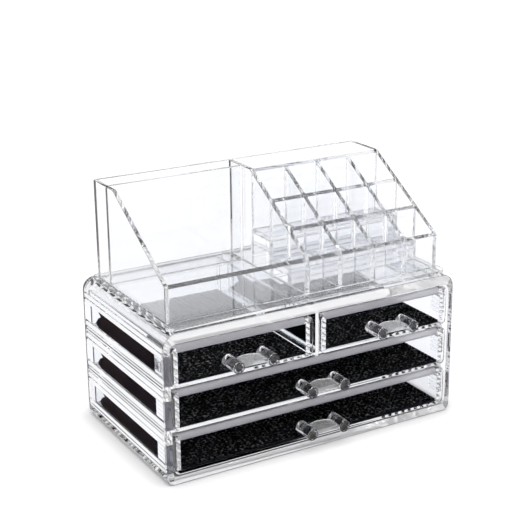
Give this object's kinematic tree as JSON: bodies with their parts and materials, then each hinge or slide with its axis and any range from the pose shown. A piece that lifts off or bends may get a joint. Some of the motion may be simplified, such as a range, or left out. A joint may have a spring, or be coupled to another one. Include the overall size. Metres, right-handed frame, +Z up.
{
  "type": "acrylic jewellery box",
  "caption": "Clear acrylic box with rows of pull-out drawers in a rounded case and a lift-off divided tray on top.",
  "frame": {"origin": "the middle of the case's flat underside, halfway between its front and back", "axes": "+Z up, -Y towards the front where the drawers open, +X to the right seen from the front"},
  "size_m": [0.238, 0.1583, 0.186],
  "materials": {
    "case_acrylic": "clear polished acrylic",
    "shelf_acrylic": "clear polished acrylic",
    "front_acrylic": "clear polished acrylic",
    "tub_acrylic": "clear moulded acrylic",
    "pull_acrylic": "clear moulded acrylic",
    "liner_foam": "black open-mesh foam",
    "tray_acrylic": "clear polished acrylic"
  },
  "bodies": {
    "case": {"case_shell": "case_acrylic", "shelf_lower": "shelf_acrylic", "shelf_upper": "shelf_acrylic", "top_row_divider": "shelf_acrylic"},
    "drawer_bottom": {"drawer_bottom_front": "front_acrylic", "drawer_bottom_tub": "tub_acrylic", "drawer_bottom_pull": "pull_acrylic", "drawer_bottom_liner": "liner_foam"},
    "drawer_middle": {"drawer_middle_front": "front_acrylic", "drawer_middle_tub": "tub_acrylic", "drawer_middle_pull": "pull_acrylic", "drawer_middle_liner": "liner_foam"},
    "drawer_top_left": {"drawer_top_left_front": "front_acrylic", "drawer_top_left_tub": "tub_acrylic", "drawer_top_left_pull": "pull_acrylic", "drawer_top_left_liner": "liner_foam"},
    "drawer_top_right": {"drawer_top_right_front": "front_acrylic", "drawer_top_right_tub": "tub_acrylic", "drawer_top_right_pull": "pull_acrylic", "drawer_top_right_liner": "liner_foam"},
    "tray": {"tray_base": "tray_acrylic", "tray_wall_left": "tray_acrylic", "tray_wall_right": "tray_acrylic", "tray_wall_front": "tray_acrylic", "tray_wall_rear": "tray_acrylic", "tray_wall_centre": "tray_acrylic", "tray_bin_divider_left": "tray_acrylic", "tray_bin_divider_right": "tray_acrylic", "tray_slot_cross_wall_1": "tray_acrylic", "tray_slot_cross_wall_2": "tray_acrylic", "tray_slot_floor_1": "tray_acrylic", "tray_slot_floor_2": "tray_acrylic", "tray_slot_divider_1_1": "tray_acrylic", "tray_slot_divider_1_2": "tray_acrylic", "tray_slot_divider_1_3": "tray_acrylic", "tray_slot_divider_2_1": "tray_acrylic", "tray_slot_divider_2_2": "tray_acrylic", "tray_slot_divider_2_3": "tray_acrylic", "tray_slot_divider_3_1": "tray_acrylic", "tray_slot_divider_3_2": "tray_acrylic", "tray_slot_divider_3_3": "tray_acrylic"}
  },
  "joints": [
    {"name": "drawer_bottom_slide", "type": "slide", "parent": "case", "child": "drawer_bottom", "axis": [0, -1, 0], "range_m": [0, 0.1]},
    {"name": "drawer_middle_slide", "type": "slide", "parent": "case", "child": "drawer_middle", "axis": [0, -1, 0], "range_m": [0, 0.1]},
    {"name": "drawer_top_left_slide", "type": "slide", "parent": "case", "child": "drawer_top_left", "axis": [0, -1, 0], "range_m": [0, 0.1]},
    {"name": "drawer_top_right_slide", "type": "slide", "parent": "case", "child": "drawer_top_right", "axis": [0, -1, 0], "range_m": [0, 0.1]},
    {"name": "tray_lift", "type": "slide", "parent": "case", "child": "tray", "axis": [0, 0, 1], "range_m": [0, 0.06]}
  ]
}
